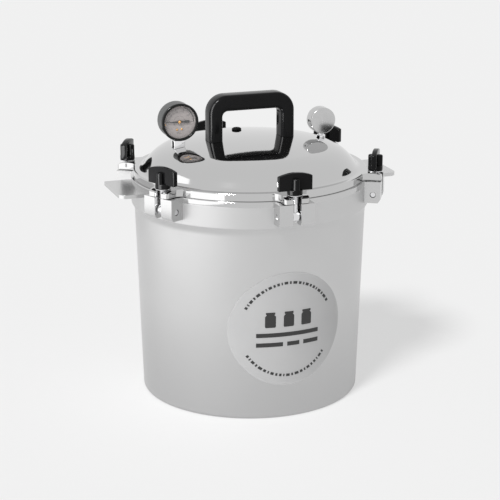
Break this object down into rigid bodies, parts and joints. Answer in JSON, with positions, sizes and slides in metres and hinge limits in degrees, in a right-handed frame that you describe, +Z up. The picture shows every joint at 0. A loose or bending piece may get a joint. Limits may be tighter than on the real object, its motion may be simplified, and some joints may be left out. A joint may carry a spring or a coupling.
{
  "type": "pressure canner",
  "caption": "Cast aluminium pressure canner: tapered pot with two ears, domed lid held by swing clamps with wing nuts, loop handle, dial gauge, vent weight and relief plug.",
  "frame": {"origin": "centre of the pot's flat underside, on the pot's axis", "axes": "+Z up along the pot's axis; the two carrying ears point along +X and -X; the gauge and the front clamp face -Y"},
  "size_m": [0.409, 0.3784, 0.4281],
  "materials": {
    "cast_aluminium": "satin, turned",
    "label_film": "frosted clear film",
    "sheet_aluminium": "mill finish sheet",
    "polished_aluminium": "mirror polished",
    "black_phenolic": "glossy moulded",
    "steel": "bright machined",
    "black_enamel": "semi-gloss enamel",
    "clear_glass": "polished",
    "dial_card": "matte printed",
    "brass": "bright",
    "chrome": "polished",
    "needle_black": "matte",
    "weight_metal": "mirror polished",
    "black_rubber": "matte",
    "zinc_plate": "zinc plated"
  },
  "bodies": {
    "pot": {"pot": "cast_aluminium", "label": "label_film", "clamp_1_pin": "steel", "clamp_2_pin": "steel", "clamp_3_pin": "steel", "clamp_4_pin": "steel", "clamp_5_pin": "steel", "clamp_6_pin": "steel"},
    "rack": {"rack": "sheet_aluminium"},
    "lid": {"lid": "polished_aluminium", "handle": "black_phenolic", "handle_screw_1": "steel", "handle_screw_2": "steel", "gauge_case": "black_enamel", "gauge_bezel": "black_enamel", "gauge_lens": "clear_glass", "gauge_dial": "dial_card", "gauge_dial_screw_1": "brass", "gauge_dial_screw_2": "brass", "gauge_stop_pin": "brass", "gauge_movement": "brass", "gauge_bourdon_tube": "brass", "gauge_stem": "chrome", "vent_pipe": "chrome"},
    "gauge_needle": {"gauge_pointer": "needle_black", "gauge_arbor": "brass"},
    "pressure_weight": {"pressure_weight": "weight_metal"},
    "relief_plug": {"relief_plug": "black_rubber"},
    "clamp_1_bolt": {"clamp_1_bolt": "steel"},
    "clamp_1_washer": {"clamp_1_washer": "zinc_plate"},
    "clamp_1_nut": {"clamp_1_wing_nut": "black_phenolic"},
    "clamp_2_bolt": {"clamp_2_bolt": "steel"},
    "clamp_2_washer": {"clamp_2_washer": "zinc_plate"},
    "clamp_2_nut": {"clamp_2_wing_nut": "black_phenolic"},
    "clamp_3_bolt": {"clamp_3_bolt": "steel"},
    "clamp_3_washer": {"clamp_3_washer": "zinc_plate"},
    "clamp_3_nut": {"clamp_3_wing_nut": "black_phenolic"},
    "clamp_4_bolt": {"clamp_4_bolt": "steel"},
    "clamp_4_washer": {"clamp_4_washer": "zinc_plate"},
    "clamp_4_nut": {"clamp_4_wing_nut": "black_phenolic"},
    "clamp_5_bolt": {"clamp_5_bolt": "steel"},
    "clamp_5_washer": {"clamp_5_washer": "zinc_plate"},
    "clamp_5_nut": {"clamp_5_wing_nut": "black_phenolic"},
    "clamp_6_bolt": {"clamp_6_bolt": "steel"},
    "clamp_6_washer": {"clamp_6_washer": "zinc_plate"},
    "clamp_6_nut": {"clamp_6_wing_nut": "black_phenolic"}
  },
  "joints": [
    {"name": "lid_lift", "type": "slide", "parent": "pot", "child": "lid", "axis": [0, 0, 1], "range_m": [0, 0.024]},
    {"name": "clamp_1_swing", "type": "hinge", "parent": "pot", "child": "clamp_1_bolt", "pos_m": [0, -0.1785, 0.2948], "axis": [1, 0, 0], "range_deg": [0, 122]},
    {"name": "clamp_1_nut_travel", "type": "slide", "parent": "clamp_1_bolt", "child": "clamp_1_washer", "axis": [0, 0, 1], "range_m": [0, 0.0156]},
    {"name": "clamp_1_nut_turn", "type": "hinge", "parent": "clamp_1_washer", "child": "clamp_1_nut", "pos_m": [0, -0.1785, 0.33], "axis": [0, 0, 1], "continuous": true},
    {"name": "clamp_2_swing", "type": "hinge", "parent": "pot", "child": "clamp_2_bolt", "pos_m": [0.15459, -0.08925, 0.2948], "axis": [0.5, 0.866, 0], "range_deg": [0, 122]},
    {"name": "clamp_2_nut_travel", "type": "slide", "parent": "clamp_2_bolt", "child": "clamp_2_washer", "axis": [0, 0, 1], "range_m": [0, 0.0156]},
    {"name": "clamp_2_nut_turn", "type": "hinge", "parent": "clamp_2_washer", "child": "clamp_2_nut", "pos_m": [0.15459, -0.08925, 0.33], "axis": [0, 0, 1], "continuous": true},
    {"name": "clamp_3_swing", "type": "hinge", "parent": "pot", "child": "clamp_3_bolt", "pos_m": [0.15459, 0.08925, 0.2948], "axis": [-0.5, 0.866, 0], "range_deg": [0, 122]},
    {"name": "clamp_3_nut_travel", "type": "slide", "parent": "clamp_3_bolt", "child": "clamp_3_washer", "axis": [0, 0, 1], "range_m": [0, 0.0156]},
    {"name": "clamp_3_nut_turn", "type": "hinge", "parent": "clamp_3_washer", "child": "clamp_3_nut", "pos_m": [0.15459, 0.08925, 0.33], "axis": [0, 0, 1], "continuous": true},
    {"name": "clamp_4_swing", "type": "hinge", "parent": "pot", "child": "clamp_4_bolt", "pos_m": [0, 0.1785, 0.2948], "axis": [-1, 0, 0], "range_deg": [0, 122]},
    {"name": "clamp_4_nut_travel", "type": "slide", "parent": "clamp_4_bolt", "child": "clamp_4_washer", "axis": [0, 0, 1], "range_m": [0, 0.0156]},
    {"name": "clamp_4_nut_turn", "type": "hinge", "parent": "clamp_4_washer", "child": "clamp_4_nut", "pos_m": [0, 0.1785, 0.33], "axis": [0, 0, 1], "continuous": true},
    {"name": "clamp_5_swing", "type": "hinge", "parent": "pot", "child": "clamp_5_bolt", "pos_m": [-0.15459, 0.08925, 0.2948], "axis": [-0.5, -0.866, 0], "range_deg": [0, 122]},
    {"name": "clamp_5_nut_travel", "type": "slide", "parent": "clamp_5_bolt", "child": "clamp_5_washer", "axis": [0, 0, 1], "range_m": [0, 0.0156]},
    {"name": "clamp_5_nut_turn", "type": "hinge", "parent": "clamp_5_washer", "child": "clamp_5_nut", "pos_m": [-0.15459, 0.08925, 0.33], "axis": [0, 0, 1], "continuous": true},
    {"name": "clamp_6_swing", "type": "hinge", "parent": "pot", "child": "clamp_6_bolt", "pos_m": [-0.15459, -0.08925, 0.2948], "axis": [0.5, -0.866, 0], "range_deg": [0, 122]},
    {"name": "clamp_6_nut_travel", "type": "slide", "parent": "clamp_6_bolt", "child": "clamp_6_washer", "axis": [0, 0, 1], "range_m": [0, 0.0156]},
    {"name": "clamp_6_nut_turn", "type": "hinge", "parent": "clamp_6_washer", "child": "clamp_6_nut", "pos_m": [-0.15459, -0.08925, 0.33], "axis": [0, 0, 1], "continuous": true},
    {"name": "gauge_needle_turn", "type": "hinge", "parent": "lid", "child": "gauge_needle", "pos_m": [-0.104, 0, 0.394], "axis": [0, 1, 0], "range_deg": [0, 180], "stiffness_Nm_per_rad": 0.001},
    {"name": "weight_lift", "type": "slide", "parent": "lid", "child": "pressure_weight", "axis": [0, 0, 1], "range_m": [0, 0.03]},
    {"name": "relief_plug_pop", "type": "slide", "parent": "lid", "child": "relief_plug", "axis": [0, 0.0932, 0.9956], "range_m": [0, 0.014]},
    {"name": "rack_lift", "type": "slide", "parent": "pot", "child": "rack", "axis": [0, 0, 1], "range_m": [0, 0.2]}
  ],
  "couplings": [
    {"joint": "clamp_1_swing", "follows": "lid_lift", "rad_per_m": 87.266},
    {"joint": "clamp_1_nut_travel", "follows": "lid_lift", "ratio": 0.64},
    {"joint": "clamp_2_swing", "follows": "lid_lift", "rad_per_m": 87.266},
    {"joint": "clamp_2_nut_travel", "follows": "lid_lift", "ratio": 0.64},
    {"joint": "clamp_3_swing", "follows": "lid_lift", "rad_per_m": 87.266},
    {"joint": "clamp_3_nut_travel", "follows": "lid_lift", "ratio": 0.64},
    {"joint": "clamp_4_swing", "follows": "lid_lift", "rad_per_m": 87.266},
    {"joint": "clamp_4_nut_travel", "follows": "lid_lift", "ratio": 0.64},
    {"joint": "clamp_5_swing", "follows": "lid_lift", "rad_per_m": 87.266},
    {"joint": "clamp_5_nut_travel", "follows": "lid_lift", "ratio": 0.64},
    {"joint": "clamp_6_swing", "follows": "lid_lift", "rad_per_m": 87.266},
    {"joint": "clamp_6_nut_travel", "follows": "lid_lift", "ratio": 0.64}
  ]
}
